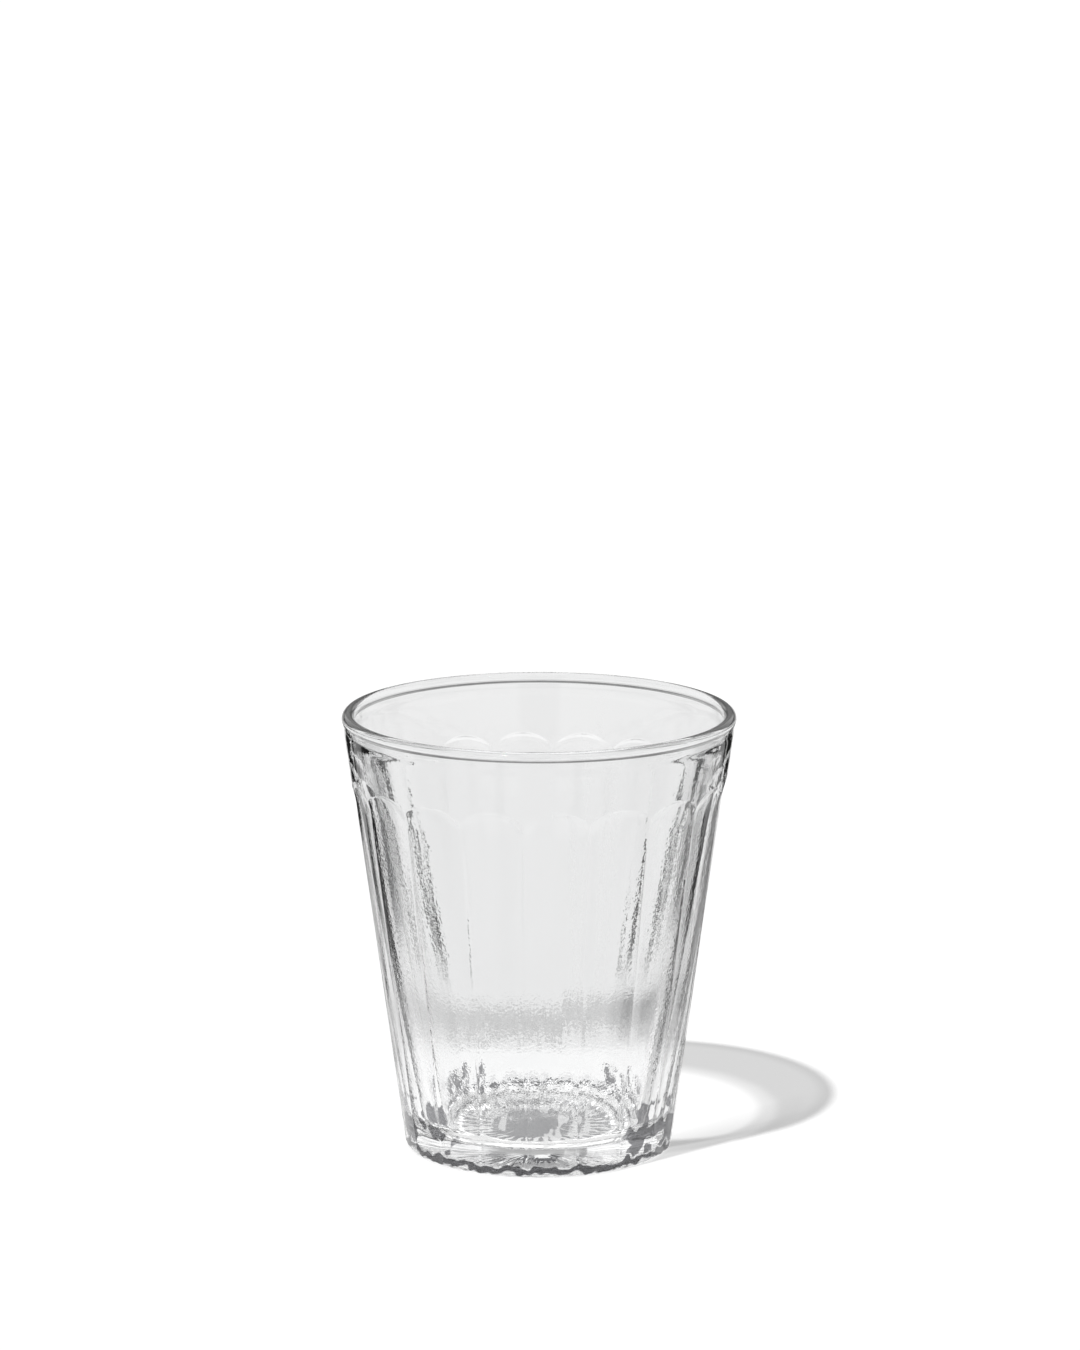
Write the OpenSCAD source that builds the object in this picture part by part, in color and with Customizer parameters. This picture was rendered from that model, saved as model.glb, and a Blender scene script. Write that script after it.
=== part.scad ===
// Tapered drinking glass of pressed clear glass, with arch-topped flutes that have flat faces.
// The glass is one pressing. Its zones are separate solids that meet face to face:
// rim, collar, fluted wall, base and bearing ring.
// Millimetres, +Z up, origin in the middle of the ring that stands on the table.

/* [Overall] */
// Height from the table to the top of the rim
glass_h = 96; // [86:0.5:110]
// Diameter over the rim bead
rim_d = 85; // [78:0.5:95]
// Diameter of the collar's cone where it would meet the table
foot_d = 58.8; // [52:0.2:64]

/* [Rim and collar] */
// Wall thickness of the collar at the rim
collar_wall = 2.3; // [1.8:0.05:3.2]
// How far the bead stands proud of the wall, outside
bead_out = 0.1; // [0.05:0.05:0.4]
// How far the bead stands proud of the wall, inside
bead_in = 0.35; // [0.1:0.05:0.6]
// Plain height of wall from the top of the rim down to the arches of the flutes
collar_h = 13.4; // [8:0.2:30]
// Plain height of wall between the bead and the joint of rim and collar
rim_skirt = 0.4; // [0.2:0.1:1.5]
// Plain height of wall between the flute arches and the foot of the collar
collar_foot = 0.8; // [0.4:0.1:3]

/* [Flutes] */
// Number of flutes round the wall
flute_n = 18; // [14:1:22]
// Depth of the ridges between flutes below the collar's cone
ridge_drop = 0.3; // [0.1:0.05:0.6]
// Length over which a flute runs out to its arch
arch_h = 6; // [4:0.5:9]
// Slope of the run-out where it leaves the flute's flat face, in degrees
arch_slope = 3; // [1:0.5:5]
// Turn of the first flute from the front of the glass, in degrees
flute_turn = 5.5; // [0:0.5:20]

/* [Base] */
// Thickness of the glass under the floor, above the table
floor_h = 4.8; // [4:0.1:8]
// Inside diameter where the cone of the hollow meets the floor
floor_d = 43; // [38:0.5:48]
// Radius between the floor and the inside wall
floor_fillet = 5; // [3:0.5:8]
// Height of wall between the floor's fillet and the joint of base and wall
base_band = 0.5; // [0.3:0.1:3]
// Radius of the heel, where the wall turns under
heel_r = 1.4; // [0.8:0.1:2]
// Rise of the domed underside above the ring
dome_rise = 0.6; // [0.3:0.1:1.5]

/* [Bearing ring] */
// Height of the ring that stands on the table
ring_h = 1; // [0.6:0.1:1.5]
// Inside diameter of the ring where it touches the table
ring_in_d = 44; // [36:0.5:48]
// Slope of the ring's inner side, as inward run for each unit of height
ring_draft = 0.6; // [0.2:0.1:1]

/* [Hidden] */
$fn = 96;
GLASS = [0.87, 0.91, 0.91, 0.5];

// Reach of a cutting shape past the glass that it cuts
overcut = 3;
// Turn of a flute's springing out of level, so that two neighbours don't spring from one point of their ridge
spring_turn = 0.6;

// Outer cone
bead_d = collar_wall + bead_out + bead_in;
bead_z = glass_h - bead_d / 2;
bead_r = rim_d / 2 - bead_d / 2;
foot_r = foot_d / 2;
outer_slope = (rim_d / 2 - bead_out - foot_r) / bead_z;
outer_angle = atan(outer_slope);

// Cone of the hollow
floor_r = floor_d / 2;
mouth_r = rim_d / 2 - bead_out - collar_wall;
inner_slope = (mouth_r - floor_r) / (bead_z - floor_h);
inner_angle = atan(inner_slope);

// Centres of the heel and floor rounds
heel_c = [foot_r + heel_r * outer_slope - heel_r / cos(outer_angle), heel_r];
floor_c = [floor_r + floor_fillet * (inner_slope - 1 / cos(inner_angle)), floor_h + floor_fillet];

// Heights of the arch tops and of the joints between zones
arch_top_h = glass_h - collar_h;
rim_z = glass_h - bead_d - rim_skirt;
collar_z = arch_top_h + collar_foot;
base_z = floor_h + floor_fillet * (1 - sin(inner_angle)) + base_band;

// Underside
dome_edge_r = ring_in_d / 2 - ring_h * ring_draft;
dome_r = (pow(dome_edge_r, 2) + pow(dome_rise, 2)) / (2 * dome_rise);

// Valley of a flute: the line along the middle of its flat face, and the round in which it runs out to the arch
spring_z = arch_top_h - arch_h * cos(outer_angle);
valley_top_r = valley_r(outer_r(spring_z) - ridge_drop);
valley_foot_r = valley_r(foot_r - ridge_drop);
valley_angle = atan((valley_top_r - valley_foot_r) / spring_z);
valley_depth = (outer_r(spring_z) - valley_top_r) * cos(outer_angle);
arch_chord = norm([valley_depth, arch_h]);
arch_round = arch_chord / (2 * sin(atan(valley_depth / arch_h) - arch_slope));
arch_c = arch_round * [cos(arch_slope), -sin(arch_slope)];
flute_span = 2 * (rim_d / 2 * sin(180 / flute_n) + overcut);

// Radius of the valley between two ridges of radius r
function valley_r(r) = r * cos(180 / flute_n);
function outer_r(z) = foot_r + outer_slope * z;
function inner_r(z) = floor_r + inner_slope * (z - floor_h);

// Half-sections, drawn with the radius along x and the height along y
module outer_section() {
    polygon([
        [0, 0],
        [heel_c.x, 0],
        heel_c + heel_r * [cos(outer_angle), -sin(outer_angle)],
        [outer_r(bead_z), bead_z],
        [0, bead_z]
    ]);
    translate(heel_c) circle(r = heel_r);
    translate([bead_r, bead_z]) circle(d = bead_d);
}

module hollow_section() {
    polygon([
        [0, floor_h],
        [floor_c.x, floor_h],
        floor_c + floor_fillet * [cos(inner_angle), -sin(inner_angle)],
        [inner_r(bead_z), bead_z],
        [bead_r, bead_z],
        [bead_r, glass_h + overcut],
        [0, glass_h + overcut]
    ]);
    intersection() {
        translate(floor_c) circle(r = floor_fillet);
        translate([0, floor_h]) square([floor_r + floor_fillet, floor_fillet]);
    }
}

module underside_section() {
    polygon([
        [0, -overcut],
        [ring_in_d / 2 + overcut * ring_draft, -overcut],
        [dome_edge_r, ring_h],
        [0, ring_h]
    ]);
    intersection() {
        translate([0, ring_h + dome_rise - dome_r]) circle(r = dome_r, $fn = 960);
        translate([0, ring_h]) square([dome_edge_r, 2 * dome_rise]);
    }
}

// Section of the whole glass, with the bead's inner half put back over the mouth's cut
module glass_section() {
    difference() {
        outer_section();
        hollow_section();
        underside_section();
    }
    translate([bead_r, bead_z]) circle(d = bead_d);
}

// A zone of the glass between two heights, as a full turn
module zone(low, high) {
    rotate_extrude()
        intersection() {
            glass_section();
            translate([0, low]) square([rim_d, high - low]);
        }
}

// Outline of the shape that cuts a flute: a flat face along the valley, rounded out at its upper end
module flute_outline() {
    translate([0, -2 * glass_h]) square([overcut, 2 * glass_h]);
    intersection() {
        translate(arch_c) circle(r = arch_round, $fn = 360);
        square([overcut, arch_round]);
    }
}

// One flute, cut along its valley line
module flute() {
    translate([valley_foot_r, 0, 0]) rotate([0, valley_angle, 0])
        translate([0, 0, spring_z / cos(valley_angle)]) rotate([90 + spring_turn, 0, 0])
            linear_extrude(flute_span, center = true) flute_outline();
}

// All the flutes, round the wall
module flutes() {
    for (i = [0 : flute_n - 1])
        rotate(flute_turn - 90 + i * 360 / flute_n) flute();
}

// Round fire-polished bead at the mouth, with the top of the wall under it
module rim() {
    color(GLASS) zone(rim_z, glass_h + overcut);
}

// Plain band between the bead and the flute arches
module collar() {
    color(GLASS) zone(collar_z, rim_z);
}

// Tapered wall with its arch-topped flutes
module fluted_wall() {
    color(GLASS) difference() {
        zone(base_z, collar_z);
        flutes();
    }
}

// Thick bottom with the floor of the hollow, the flutes' lower ends and the domed underside
module base() {
    color(GLASS) difference() {
        zone(ring_h, base_z);
        flutes();
    }
}

// Low ring that stands on the table, under the heel
module bearing_ring() {
    color(GLASS) difference() {
        zone(0, ring_h);
        flutes();
    }
}

rim();
collar();
fluted_wall();
base();
bearing_ring();
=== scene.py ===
"""Looks of a fluted water glass of clear pressed glass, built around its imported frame.

The glass is one pressing, so it is one closed skin here: the underside, the outer wall with its arch-topped
flutes, the round rim and the hollow follow each other as rows of one turned grid.
"""

import math

import bpy
import numpy as np
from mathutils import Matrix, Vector


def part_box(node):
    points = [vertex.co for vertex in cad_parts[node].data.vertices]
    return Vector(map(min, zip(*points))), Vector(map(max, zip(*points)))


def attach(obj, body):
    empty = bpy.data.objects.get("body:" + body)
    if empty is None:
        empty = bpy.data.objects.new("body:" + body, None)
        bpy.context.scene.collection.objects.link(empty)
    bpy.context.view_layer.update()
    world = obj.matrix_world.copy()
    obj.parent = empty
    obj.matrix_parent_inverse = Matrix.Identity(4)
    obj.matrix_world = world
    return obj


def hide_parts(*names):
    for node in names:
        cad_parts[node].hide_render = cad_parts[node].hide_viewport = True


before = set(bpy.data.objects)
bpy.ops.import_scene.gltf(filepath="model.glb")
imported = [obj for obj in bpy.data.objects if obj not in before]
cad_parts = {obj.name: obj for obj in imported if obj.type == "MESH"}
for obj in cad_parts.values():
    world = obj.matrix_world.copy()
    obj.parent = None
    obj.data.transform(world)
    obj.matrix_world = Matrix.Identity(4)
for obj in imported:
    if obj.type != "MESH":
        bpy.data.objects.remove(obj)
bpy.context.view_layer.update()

MM = 0.001
WHITE = (1, 1, 1, 1)

# Sizes that the frame gives
RIM_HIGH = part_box("rim")[1]
GLASS_H = RIM_HIGH.z
RIM_R = RIM_HIGH.x
RING_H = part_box("bearing_ring")[1].z

# Sizes of the wall, as in the solids
FOOT_R = 29.4 * MM
COLLAR_WALL = 2.3 * MM
BEAD_OUT = 0.10 * MM
BEAD_IN = 0.35 * MM
BEAD_R = (COLLAR_WALL + BEAD_OUT + BEAD_IN) / 2
FLOOR_H = 4.8 * MM
FLOOR_R = 21.5 * MM
FLOOR_FILLET = 5.0 * MM
HEEL_R = 1.4 * MM
RING_IN_R = 22.0 * MM
RING_DRAFT = 0.6
DOME_RISE = 0.6 * MM

# Sizes of the flutes, as in the solids
FLUTES = 18
FLUTE_TURN = math.radians(5.5)
RIDGE_DROP = 0.3 * MM
ARCH_TOP_H = 82.6 * MM
ARCH_RISE = 6.0 * MM
ARCH_SLOPE = math.radians(3)

# Rounding of edges by the fire-polish
RIDGE_SOFT = 0.22 * MM
FACE_BULGE = 0.5
BULGE_SOFT = 0.1 * MM
CREST_H = 0.05 * MM
CREST_WIDE = 0.4 * MM
CREST_RUN_OUT = 4 * MM
ARCH_SOFT = 0.05 * MM
EDGE_STEP = 0.055 * MM
EDGE_WIDE = 0.08 * MM
HEEL_SOFT = 0.25 * MM
NECK_SOFT = 0.24 * MM
NECK_WIDE = 0.9 * MM
NECK_OUT = 0.08 * MM
NECK_IN = 0.05 * MM

# Fine forms left by the mould under the glass
NOTCHES = 54
NOTCH_DEEP = 0.35 * MM
DOME_RIBS = 36
DOME_RIB_H = 0.05 * MM

# Cones of the outer wall and of the hollow
BEAD_Z = GLASS_H - BEAD_R
BEAD_MID_R = RIM_R - BEAD_R
NECK_LOW = BEAD_Z - 3.4 * BEAD_R
NECK_Z = BEAD_Z - 1.75 * BEAD_R
OUTER_SLOPE = (RIM_R - BEAD_OUT - FOOT_R) / BEAD_Z
OUTER_ANGLE = math.atan(OUTER_SLOPE)
MOUTH_R = RIM_R - BEAD_OUT - COLLAR_WALL
INNER_SLOPE = (MOUTH_R - FLOOR_R) / (BEAD_Z - FLOOR_H)
INNER_ANGLE = math.atan(INNER_SLOPE)
HEEL_X = FOOT_R + HEEL_R * OUTER_SLOPE - HEEL_R / math.cos(OUTER_ANGLE)

# Columns of the grid, the same number for each flute and closer together at the ridges
FLUTE_COLUMNS = 44
COLUMNS = FLUTES * FLUTE_COLUMNS
PITCH = 2 * math.pi / FLUTES
RIDGE_CROWDING = 0.5

# Rows of the grid in each part, and the innermost row's share of the radius
DISC_ROWS = 10
HEEL_ROWS = 12
WALL_ROWS = 60
ARCH_ROWS = 70
COLLAR_ROWS = 8
NECK_ROWS = 30
BEAD_ROWS = 22
HOLLOW_ROWS = 50
FILLET_ROWS = 16
INNERMOST = 0.04

# Levels of light: 1 is white
SUN = 2.33
SECOND_SUN = 0.05
FILL = 0.25
PAPER_CAMERA = 0.215
PAPER_GLASS = 0.025
PAPER_SEEN = 0.86
ROOM_DARK = 0.03
SKY_LOW = 0.2

# Ways in which the lamps shine, and how wide they look
KEY_TRAVEL = (24, 39, -94.7)
SECOND_TRAVEL = (-36, 35, -87)
SUN_ANGLE = math.radians(1.6)

# Colour of the glass, and the depth of its ripple
GLASS_IOR = 1.52
CLEAR_RED = 0.985
CLEAR_GREEN = 0.987
CLEAR_BLUE = 0.988
RIPPLE_DEEP = 0.05 * MM

# Shares of a lamp's light that the glass holds back where it turns away, in its upper wall and at its bead
EDGE_DIM = 0.32
UPPER_DIM = 0.36
BEAD_DIM = 0.25

# Shares of painted shade in the base colour at the base, standing in for dark refraction there
BAND_PAINTED_SHADE = 0.985
BLOCK_PAINTED_SHADE = 0.3
SIDE_BLOCK_PAINTED_SHADE = 0.65
DISC_PAINTED_SHADE = 0.9

# Limits in millimetres between which a band or ring starts, is full, starts to fade and is gone; the heel's
# band is painted shade, and the rings near the glass are painted light
HEEL_BAND = (0.6, 0.9, 2.2, 2.6)
FOCUS_RING = (16.5, 18.5, 19.5, 22)
FOCUS_SKIRT = (25, 27, 29, 34)
NEAR_RING = (30, 34, 56, 64)
SLAT_RING = (90, 130, 460, 520)
MIDDLE_RING = (580, 640, 780, 860)

# Slats, as degrees from the view's line: two of them by four limits, and the thin one by its ends
THIN_SLAT_START = (19, 20.5)
THIN_SLAT_END = 24.5
THIN_SLAT_MORE = 10
SECOND_SLAT = (36.5, 37.5, 40, 41)
WIDE_SLAT = (52, 56, 76, 81)
SECOND_SLAT_DARK = 0.95
WIDE_SLAT_DARK = 0.9

# Stage and camera
FLOOR_HALF = 6.0
FLOOR_DROP = 0.02 * MM
SENSOR_WIDE = 36
CAMERA_LENS = 146.4
CAMERA_AT = (0.2 * MM, -1156 * MM, 343.6 * MM)
CAMERA_TILT = math.radians(90 - 11.717)


def outer_r(z):
    return FOOT_R + OUTER_SLOPE * z


def inner_r(z):
    return FLOOR_R + INNER_SLOPE * (z - FLOOR_H)


def soft_min(a, b, width):
    """The lesser of two lengths, rounded over a width where they are close."""
    h = np.clip(0.5 + 0.5 * (b - a) / width, 0, 1)
    return b + (a - b) * h - width * h * (1 - h)


def soft_max(a, b, width):
    return -soft_min(-a, -b, width)


def valley_r(ridge):
    """Radius of a flute's valley, between two ridges of the given radius."""
    return ridge * math.cos(PITCH / 2)


# Line along the middle of a flute's flat face, and the round in which it runs out to the arch
SPRING_Z = ARCH_TOP_H - ARCH_RISE * math.cos(OUTER_ANGLE)
VALLEY_TOP_R = valley_r(outer_r(SPRING_Z) - RIDGE_DROP)
VALLEY_FOOT_R = valley_r(FOOT_R - RIDGE_DROP)
VALLEY_ANGLE = math.atan((VALLEY_TOP_R - VALLEY_FOOT_R) / SPRING_Z)
VALLEY_DEPTH = (outer_r(SPRING_Z) - VALLEY_TOP_R) * math.cos(OUTER_ANGLE)
ARCH_CHORD = math.hypot(ARCH_RISE, VALLEY_DEPTH)
ARCH_ROUND = ARCH_CHORD / (2 * math.sin(math.atan(VALLEY_DEPTH / ARCH_RISE) - ARCH_SLOPE))
ARCH_OUT = ARCH_ROUND * math.cos(ARCH_SLOPE)
ARCH_DOWN = ARCH_ROUND * math.sin(ARCH_SLOPE)

# Search for the flute's surface: how far it looks to both sides of the cone, and how often it halves that
SEARCH_REACH = 4 * MM
HALVINGS = 24


def hollow_depth(phi, z):
    """Depth of one flute's hollow inside the wall's cone, at angles phi from the flute's middle."""
    low = outer_r(z) - SEARCH_REACH + 0 * phi
    high = outer_r(z) + SEARCH_REACH + 0 * phi
    for _ in range(HALVINGS):
        r = (low + high) / 2
        x = r * np.cos(phi) - VALLEY_FOOT_R
        out = x * math.cos(VALLEY_ANGLE) - z * math.sin(VALLEY_ANGLE)
        along = x * math.sin(VALLEY_ANGLE) + z * math.cos(VALLEY_ANGLE)
        past = np.clip(along - SPRING_Z / math.cos(VALLEY_ANGLE), 0, ARCH_ROUND - ARCH_DOWN)
        inside = out > ARCH_OUT - np.sqrt(ARCH_ROUND**2 - (past + ARCH_DOWN) ** 2)
        high = np.where(inside, r, high)
        low = np.where(inside, low, r)
    return outer_r(z) - r


def flute_depth(turn, z):
    """How far the fluted wall lies inside its cone, at angles turn and height z."""
    phi = (turn - FLUTE_TURN + PITCH / 2) % PITCH - PITCH / 2
    ridged = soft_max(hollow_depth(phi, z), hollow_depth(PITCH - abs(phi), z), RIDGE_SOFT)
    ridged = ridged - FACE_BULGE * soft_max(ridged - RIDGE_DROP, 0 * phi, BULGE_SOFT)
    from_ridge = (PITCH / 2 - abs(phi)) * outer_r(z)
    crest_share = np.clip((SPRING_Z - z) / CREST_RUN_OUT, 0, 1)
    crest = CREST_H * np.exp(-((from_ridge / CREST_WIDE) ** 2)) * crest_share
    hollow = soft_max(ridged, 0 * phi, ARCH_SOFT)
    return hollow + EDGE_STEP * (1 - np.exp(-hollow / EDGE_WIDE)) - crest


# Rows of the turned grid: each gives a radius for every column, and a height
def underside_rows(turn):
    edge = RING_IN_R - RING_H * RING_DRAFT
    ball = (edge**2 + DOME_RISE**2) / (2 * DOME_RISE)
    waves = np.cos(DOME_RIBS * turn) + np.cos(1.5 * DOME_RIBS * turn + 1)
    for r in np.linspace(INNERMOST, 1, DISC_ROWS) * edge:
        ribs = DOME_RIB_H * (r / edge) ** 2 * waves
        yield r + 0 * turn, RING_H + DOME_RISE - ball + math.sqrt(ball**2 - r**2) + ribs
    for t in (0.35, 0.7):
        yield edge + t * (RING_IN_R - edge) + 0 * turn, RING_H * (1 - t)
    for t in (0, 0.33, 0.67):
        yield RING_IN_R + t * (HEEL_X - RING_IN_R) + 0 * turn, 0.0


def heel_rows(turn):
    for a in np.linspace(-math.pi / 2, -OUTER_ANGLE, HEEL_ROWS):
        z = HEEL_R + HEEL_R * math.sin(a)
        notch = NOTCH_DEEP * (0.5 - 0.5 * np.cos(NOTCHES * turn)) * max(1 - z / HEEL_R, 0)
        turned = HEEL_X + HEEL_R * math.cos(a) - notch
        yield soft_min(turned + 0 * turn, outer_r(z) - flute_depth(turn, z), HEEL_SOFT), z


def wall_rows(turn):
    low = HEEL_R * (1 - math.sin(OUTER_ANGLE))
    arch_foot = SPRING_Z - 1 * MM
    collar = ARCH_TOP_H + 1.5 * MM
    heights = np.concatenate([
        np.linspace(low, arch_foot, WALL_ROWS)[1:],
        np.linspace(arch_foot, collar, ARCH_ROWS)[1:],
        np.linspace(collar, NECK_LOW, COLLAR_ROWS)[1:],
    ])
    for z in heights:
        yield outer_r(z) - flute_depth(turn, z), z


def neck(z):
    """Share of the neck's depth at a height: a soft groove under the bead."""
    return math.exp(-(((z - NECK_Z) / NECK_WIDE) ** 2))


def bead_half(z):
    """Half of the bead's thickness at a height below its middle."""
    return math.sqrt(max(BEAD_R**2 - (z - BEAD_Z) ** 2, 0))


def rim_rows(turn):
    for z in np.linspace(NECK_LOW, BEAD_Z, NECK_ROWS)[1:]:
        necked = soft_max(outer_r(z) - NECK_OUT * neck(z), BEAD_MID_R + bead_half(z), NECK_SOFT)
        yield min(necked, RIM_R) + 0 * turn, z
    for a in np.linspace(0, math.pi, BEAD_ROWS)[1:-1]:
        yield BEAD_MID_R + BEAD_R * math.cos(a) + 0 * turn, BEAD_Z + BEAD_R * math.sin(a)
    for z in np.linspace(BEAD_Z, NECK_LOW, NECK_ROWS):
        necked = soft_min(inner_r(z) + NECK_IN * neck(z), BEAD_MID_R - bead_half(z), NECK_SOFT)
        yield necked + 0 * turn, z


def hollow_rows(turn):
    centre_x = FLOOR_R + FLOOR_FILLET * (INNER_SLOPE - 1 / math.cos(INNER_ANGLE))
    centre_z = FLOOR_H + FLOOR_FILLET
    top = centre_z - FLOOR_FILLET * math.sin(INNER_ANGLE)
    for z in np.linspace(NECK_LOW, top, HOLLOW_ROWS)[1:]:
        yield inner_r(z) + 0 * turn, z
    for a in np.linspace(-INNER_ANGLE, -math.pi / 2, FILLET_ROWS)[1:]:
        yield centre_x + FLOOR_FILLET * math.cos(a) + 0 * turn, centre_z + FLOOR_FILLET * math.sin(a)
    for r in np.linspace(1, INNERMOST, DISC_ROWS)[1:] * centre_x:
        yield r + 0 * turn, FLOOR_H


def turned_skin(name):
    """The whole glass as one closed skin."""
    step = np.arange(COLUMNS) / FLUTE_COLUMNS
    turn = FLUTE_TURN + PITCH * (step + RIDGE_CROWDING / (2 * math.pi) * np.sin(2 * math.pi * step))
    rows = [*underside_rows(turn), *heel_rows(turn), *wall_rows(turn), *rim_rows(turn), *hollow_rows(turn)]
    points = [(0, 0, np.mean(rows[0][1]))]
    for r, z in rows:
        points.extend(zip(r * np.sin(turn), -r * np.cos(turn), z + 0 * turn))
    points.append((0, 0, rows[-1][1]))
    last = len(points) - 1
    faces = []
    for i in range(COLUMNS):
        j = (i + 1) % COLUMNS
        faces.append((0, 1 + j, 1 + i))
        faces.append((last, last - COLUMNS + i, last - COLUMNS + j))
        for k in range(len(rows) - 1):
            a = 1 + k * COLUMNS
            b = a + COLUMNS
            faces.append((a + i, a + j, b + j, b + i))
    mesh = bpy.data.meshes.new(name)
    mesh.from_pydata(points, [], faces)
    mesh.shade_smooth()
    skin = bpy.data.objects.new(name, mesh)
    bpy.context.scene.collection.objects.link(skin)
    return skin


class Signal:
    """An output of a shader tree. Maths on it adds Math nodes to the tree."""

    def __init__(self, graph, socket):
        self.graph = graph
        self.socket = socket

    def math(self, operation, first, second):
        return self.graph.node("ShaderNodeMath", {"operation": operation}, {0: first, 1: second})

    def __add__(self, other):
        return self.math("ADD", self, other)

    def __sub__(self, other):
        return self.math("SUBTRACT", self, other)

    def __rsub__(self, other):
        return self.math("SUBTRACT", other, self)

    def __mul__(self, other):
        return self.math("MULTIPLY", self, other)

    def __pow__(self, other):
        return self.math("POWER", self, other)

    def greatest(self, other):
        return self.math("MAXIMUM", self, other)

    def size(self):
        return self.math("ABSOLUTE", self, 0)

    def folded(self, span):
        """Runs up from 0 to the span and down again, over and over."""
        return self.math("PINGPONG", self, span)

    def rise(self, low, high):
        """0 below low, 1 above high and a smooth rise between them."""
        return self.graph.node("ShaderNodeMapRange", {"interpolation_type": "SMOOTHSTEP"},
                               {"Value": self, "From Min": low, "From Max": high})

    def between(self, limits, unit=1):
        """1 between the middle two of four limits, 0 outside the outer two, and smooth between those."""
        start, full, fading, gone = (unit * limit for limit in limits)
        return self.rise(start, full) * (1 - self.rise(fading, gone))

    __radd__ = __add__
    __rmul__ = __mul__


class Graph:
    """A shader tree, emptied, to which nodes are added."""

    def __init__(self, owner):
        owner.use_nodes = True
        self.tree = owner.node_tree
        self.tree.nodes.clear()

    def node(self, kind, settings=None, inputs=None, output=0):
        made = self.tree.nodes.new(kind)
        for name, value in (settings or {}).items():
            setattr(made, name, value)
        for key, value in (inputs or {}).items():
            if isinstance(value, Signal):
                self.tree.links.new(value.socket, made.inputs[key])
            else:
                made.inputs[key].default_value = value
        return Signal(self, made.outputs[output] if made.outputs else None)

    def axis(self, place, name):
        return self.node("ShaderNodeSeparateXYZ", None, {0: place}, name)

    def stretched(self, place, scale):
        return self.node("ShaderNodeMapping", None, {"Vector": place, "Scale": scale})

    def noise(self, place, scale, detail):
        return self.node("ShaderNodeTexNoise", None, {"Vector": place, "Scale": scale, "Detail": detail})

    def ray(self, kind):
        return self.node("ShaderNodeLightPath", output=f"Is {kind} Ray")

    def glow(self, strength):
        return self.node("ShaderNodeEmission", None, {"Color": WHITE, "Strength": strength})

    def mixed(self, share, first, second):
        return self.node("ShaderNodeMixShader", None, {0: share, 1: first, 2: second})


def painted_base_shade(g, place, height):
    """Painted shade at the base, standing in for dark refraction: a band and blocks above the heel and a
    disc under the floor.
    """
    x = g.axis(place, "X")
    y = g.axis(place, "Y")
    radius = (x * x + y * y) ** 0.5
    wander = g.noise(place, 330, 1)
    broad = g.noise(place, 150, 2)
    facets = g.noise(place, 230, 1)

    # Painted shade: a ragged band above the heel, and blocks over it that are taller and darker at the
    # sides
    outside = radius.rise(26.2 * MM, 27.2 * MM)
    level = height + (wander - 0.5) * (4 * MM)
    band = level.between(HEEL_BAND, MM) * outside
    side = x.size().rise(14 * MM, 20 * MM)
    block_top = level - 4.5 * MM * side
    block_zone = level.rise(2.6 * MM, 3.0 * MM) * (1 - block_top.rise(4.4 * MM, 5.2 * MM)) * outside
    blocks = facets.rise(0.50, 0.52) * block_zone

    # Painted shade in a disc under the floor, left out in light streaks and in light spokes in its outer
    # part, which show as painted highlights
    disc = (1 - radius.rise(17.0 * MM, 17.6 * MM)) * (1 - height.rise(2.2 * MM, 2.6 * MM))
    turn = x.math("ARCTAN2", x, y)
    spokes = turn.folded(math.pi / DOME_RIBS) * (DOME_RIBS / math.pi) + 2 * (wander - 0.5)
    outer_part = (radius + 10 * MM * (broad - 0.5)).rise(9.5 * MM, 11.5 * MM)
    streaks = g.noise(g.stretched(place, (1, 0.25, 1)), 330, 1)
    light = (spokes.rise(0.5, 0.6) * outer_part).greatest(0.8 * streaks.rise(0.60, 0.65))

    heel_painted_shade = (band * BAND_PAINTED_SHADE).greatest(blocks * (BLOCK_PAINTED_SHADE + SIDE_BLOCK_PAINTED_SHADE * side))
    return heel_painted_shade.greatest(disc * (1 - light) * DISC_PAINTED_SHADE)


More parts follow.
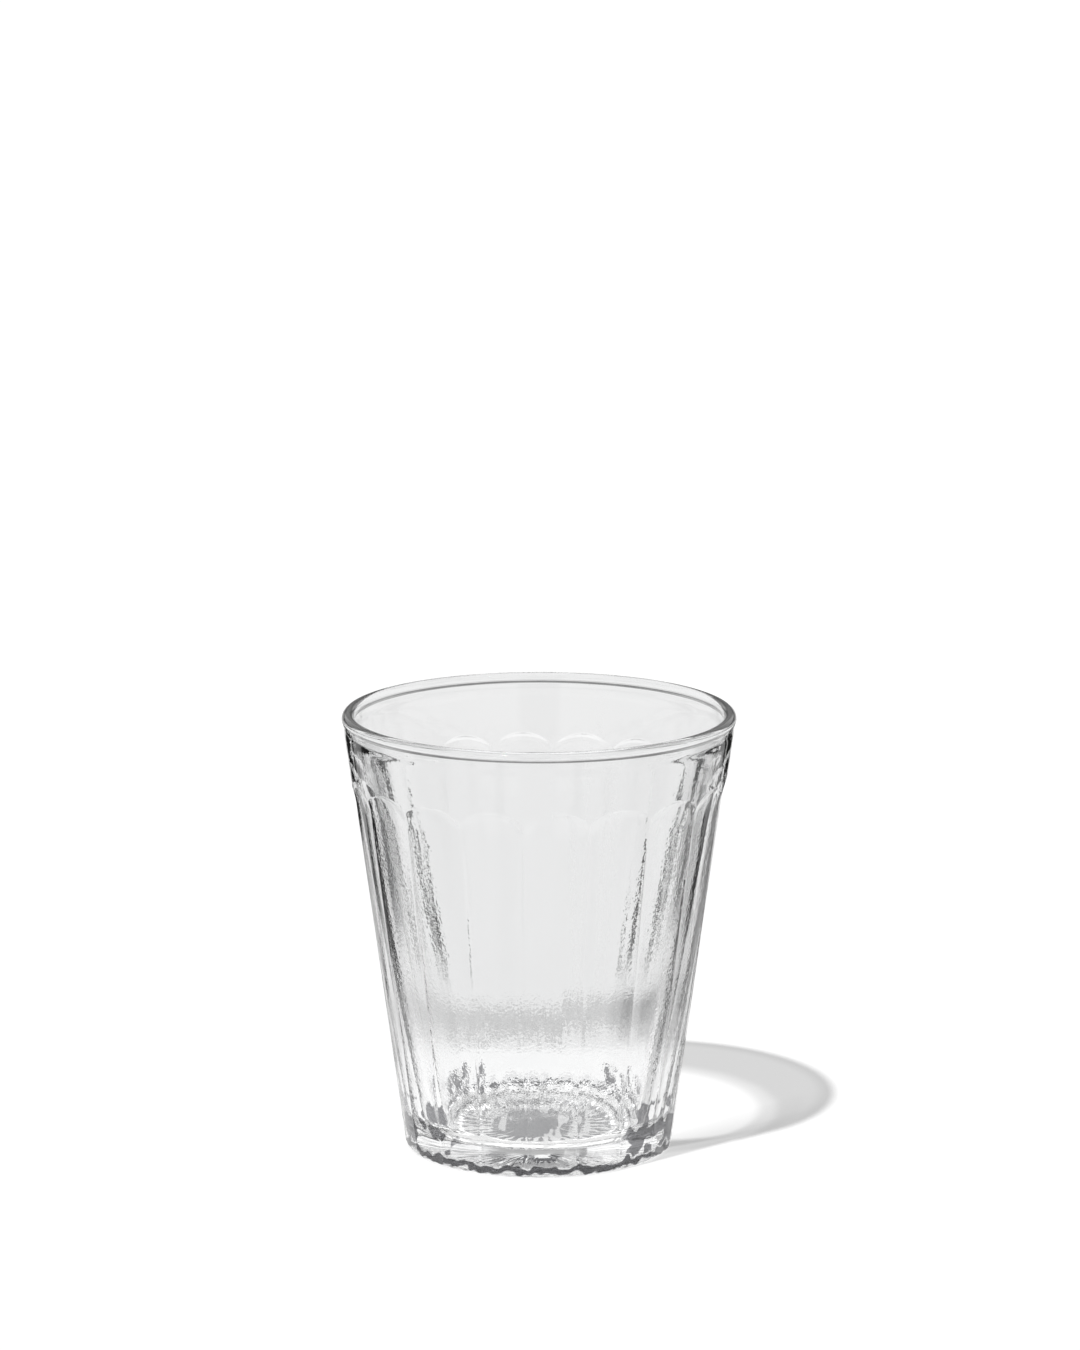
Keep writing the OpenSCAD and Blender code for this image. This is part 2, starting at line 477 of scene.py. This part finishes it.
def clear_glass():
    """Colourless pressed glass with a fine ripple and painted shade at its base, through which the lamps
    shine dimmed.
    """
    material = bpy.data.materials.new("clear_glass")
    g = Graph(material)
    place = g.node("ShaderNodeTexCoord", output="Object")
    height = g.axis(place, "Z")

    # Ripple: upright streaks and fine peel on the wall, calmer on the collar, and cells at the base
    streak = g.noise(g.stretched(place, (1, 1, 0.08)), 600, 2)
    peel = g.noise(place, 1500, 1)
    cells = g.node("ShaderNodeTexVoronoi", None, {"Vector": place, "Scale": 170}, "Distance")
    low = 1 - height.rise(11 * MM, 17 * MM)
    calm = 1 - 0.7 * height.rise(74 * MM, 82 * MM)
    swell = (streak * 0.6 + peel * 0.4) * 0.9 * calm * (1 - low) + cells * low
    ripple = g.node("ShaderNodeBump", None, {
        "Height": swell, "Strength": 1.0, "Distance": RIPPLE_DEEP}, "Normal")

    # Base colour darkened by the painted shade at the base, a little less in blue
    clear = 1 - painted_base_shade(g, place, height)
    colour = g.node("ShaderNodeCombineColor", None, {
        "Red": clear * CLEAR_RED, "Green": clear * CLEAR_GREEN, "Blue": clear ** 0.97 * CLEAR_BLUE})
    glass = g.node("ShaderNodeBsdfPrincipled", None, {
        "Base Color": colour, "Roughness": 0.0, "IOR": GLASS_IOR,
        "Transmission Weight": 1.0, "Normal": ripple})

    # What a lamp's light finds
    facing = g.node("ShaderNodeLayerWeight", None, {"Blend": 0.5}, "Facing")
    bead = height.rise(BEAD_Z - 1.6 * BEAD_R, BEAD_Z - 0.8 * BEAD_R)
    upper = height.rise(58 * MM, 66 * MM)
    dim = (1 - EDGE_DIM * facing.rise(0.55, 0.95)) * (1 - UPPER_DIM * upper) * (1 - BEAD_DIM * bead)
    tint = g.node("ShaderNodeCombineColor", None, {"Red": dim, "Green": dim, "Blue": dim})
    lit_through = g.node("ShaderNodeBsdfTransparent", None, {"Color": tint})
    both = g.mixed(g.ray("Shadow").greatest(g.ray("Diffuse")), glass, lit_through)
    g.node("ShaderNodeOutputMaterial", None, {"Surface": both})
    return material


def glass_rays(g):
    """1 for a ray that glass or gloss has turned."""
    return g.ray("Glossy").greatest(g.ray("Transmission"))


def slats(turn, thin_end):
    """Dark slats at both sides of the view's line, for the direction with the given turn from north."""
    aside = turn.folded(math.pi / 2) * math.degrees(1)
    thin = aside.rise(*THIN_SLAT_START) * (1 - (aside - thin_end).rise(-0.5, 0.5))
    return thin + aside.between(SECOND_SLAT) * SECOND_SLAT_DARK + aside.between(WIDE_SLAT) * WIDE_SLAT_DARK


def white_paper():
    """White floor. Rays that glass has turned find slats on it, and painted light and painted shadow near
    the glass.
    """
    material = bpy.data.materials.new("white_paper")
    g = Graph(material)
    turned = glass_rays(g)
    place = g.node("ShaderNodeTexCoord", output="Object")
    x = g.axis(place, "X")
    y = g.axis(place, "Y")
    away = g.node("ShaderNodeVectorMath", {"operation": "LENGTH"}, {0: place}, "Value")
    blotch = g.noise(place, 260, 2)

    # Dark slats, weaker on the camera's side
    thin_end = THIN_SLAT_END + THIN_SLAT_MORE * away.rise(240 * MM, 300 * MM)
    ahead = 0.4 + 0.6 * y.rise(-20 * MM, 20 * MM)
    dark = slats(x.math("ARCTAN2", x, y), thin_end) * away.between(SLAT_RING, MM) * ahead

    # Painted light seen through the glass: focused light under and round the base and a lighter ring near
    # it, and a broad lighter ring farther off
    rings = away.between(FOCUS_RING, MM) * 1.4 + away.between(FOCUS_SKIRT, MM) * 0.7
    painted_focus_light = rings * blotch.rise(0.42, 0.6)
    broad = 0.16 * away.between(NEAR_RING, MM) + 0.1 * away.between(MIDDLE_RING, MM)
    far = away.rise(860 * MM, 940 * MM)

    # Painted shadow: a ragged grey ring, seen through the glass in place of the cast shadow, toothed at its
    # far edge and streaked at its near edge
    streaks = g.noise(g.stretched(place, (1, 0.15, 1)), 420, 2)
    teeth = 4.0 * x.folded(2.75 * MM) + 10 * MM * (blotch - 0.5) - 6 * MM * x.rise(8 * MM, 12 * MM)
    ragged = away + teeth
    near_edge = (ragged + 30 * MM * (streaks - 0.5)).rise(68 * MM, 76 * MM)
    painted_shadow_ring = near_edge * (1 - ragged.rise(90 * MM, 93 * MM))

    extra = painted_focus_light + broad - 0.2 * far - 0.5 * painted_shadow_ring * blotch
    matt = g.node("ShaderNodeBsdfDiffuse", None, {"Color": (0.9, 0.9, 0.9, 1)})
    glow = g.glow(g.ray("Camera") * PAPER_CAMERA + turned * (PAPER_GLASS + extra))
    lit = g.node("ShaderNodeAddShader", None, {0: matt, 1: glow})
    # Turned rays, except at the right of the glass, find the floor without its cast shadow and with the
    # painted light and painted shadow instead
    unshaded = g.glow(extra + PAPER_SEEN)
    seen = g.mixed(turned * (1 - x.rise(20 * MM, 50 * MM)), lit, unshaded)
    both = g.mixed(turned * dark, seen, g.glow(ROOM_DARK))
    g.node("ShaderNodeOutputMaterial", None, {"Surface": both})
    return material


def studio_world():
    """White to the camera, a soft fill to the object, and fields to rays that glass has turned."""
    world = bpy.data.worlds.new("studio")
    bpy.context.scene.world = world
    g = Graph(world)
    way = g.node("ShaderNodeTexCoord", output="Generated")
    up = g.axis(way, "Z")
    east = g.axis(way, "X")
    north = g.axis(way, "Y")
    turn = east.math("ARCTAN2", east, north)

    # Patched field overhead, which reaches lower behind the camera
    patches = g.noise(way, 3.5, 1).rise(0.44, 0.48)
    behind = 1 - north.rise(-0.2, 0.1)
    high = up.rise(0.55, 0.65).greatest(up.rise(0.27, 0.31) * behind)
    overhead = 0.15 + 0.85 * patches

    # Field over the horizon: slats on it, lighter at the sides and higher up
    aside = turn.folded(math.pi / 2).rise(0.17, 0.28)
    panel = 1 - slats(turn, THIN_SLAT_END)
    low_sky = SKY_LOW + 0.65 * aside * up.rise(0.08, 0.14) + 0.65 * panel * (1 - up.rise(0.0, 0.06))
    low_sky = low_sky + 0.22 * up.rise(0.14, 0.20)

    room = ROOM_DARK + low_sky * (1 - high) + high * overhead
    level = FILL + g.ray("Camera") * (1 - FILL) + glass_rays(g) * (room - FILL)
    sky = g.node("ShaderNodeBackground", None, {"Color": WHITE, "Strength": level})
    g.node("ShaderNodeOutputWorld", None, {"Surface": sky})


def add_floor():
    half = FLOOR_HALF
    corners = [(-half, -half, 0), (half, -half, 0), (half, half, 0), (-half, half, 0)]
    mesh = bpy.data.meshes.new("floor")
    mesh.from_pydata(corners, [], [(0, 1, 2, 3)])
    floor = bpy.data.objects.new("floor", mesh)
    floor.location.z = -FLOOR_DROP
    bpy.context.scene.collection.objects.link(floor)
    mesh.materials.append(white_paper())


def add_sun(name, energy, travel):
    lamp = bpy.data.lights.new(name, "SUN")
    lamp.energy = energy
    lamp.angle = SUN_ANGLE
    sun = bpy.data.objects.new(name, lamp)
    sun.rotation_euler = Vector(travel).to_track_quat("-Z", "Y").to_euler()
    bpy.context.scene.collection.objects.link(sun)


def add_camera():
    data = bpy.data.cameras.new("camera")
    data.sensor_width = SENSOR_WIDE
    data.lens = CAMERA_LENS
    camera = bpy.data.objects.new("camera", data)
    camera.location = CAMERA_AT
    camera.rotation_euler = (CAMERA_TILT, 0, 0)
    bpy.context.scene.collection.objects.link(camera)
    bpy.context.scene.camera = camera


glass = turned_skin("water_glass")
glass.data.materials.append(clear_glass())
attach(glass, "root")
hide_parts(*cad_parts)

studio_world()
add_floor()
add_sun("key", SUN, KEY_TRAVEL)
add_sun("second", SECOND_SUN, SECOND_TRAVEL)
add_camera()

scene = bpy.context.scene
scene.view_settings.view_transform = "Standard"
scene.cycles.caustics_reflective = False
scene.cycles.caustics_refractive = False
scene.cycles.max_bounces = 24
scene.cycles.transmission_bounces = 24
scene.cycles.glossy_bounces = 12
scene.cycles.transparent_max_bounces = 24
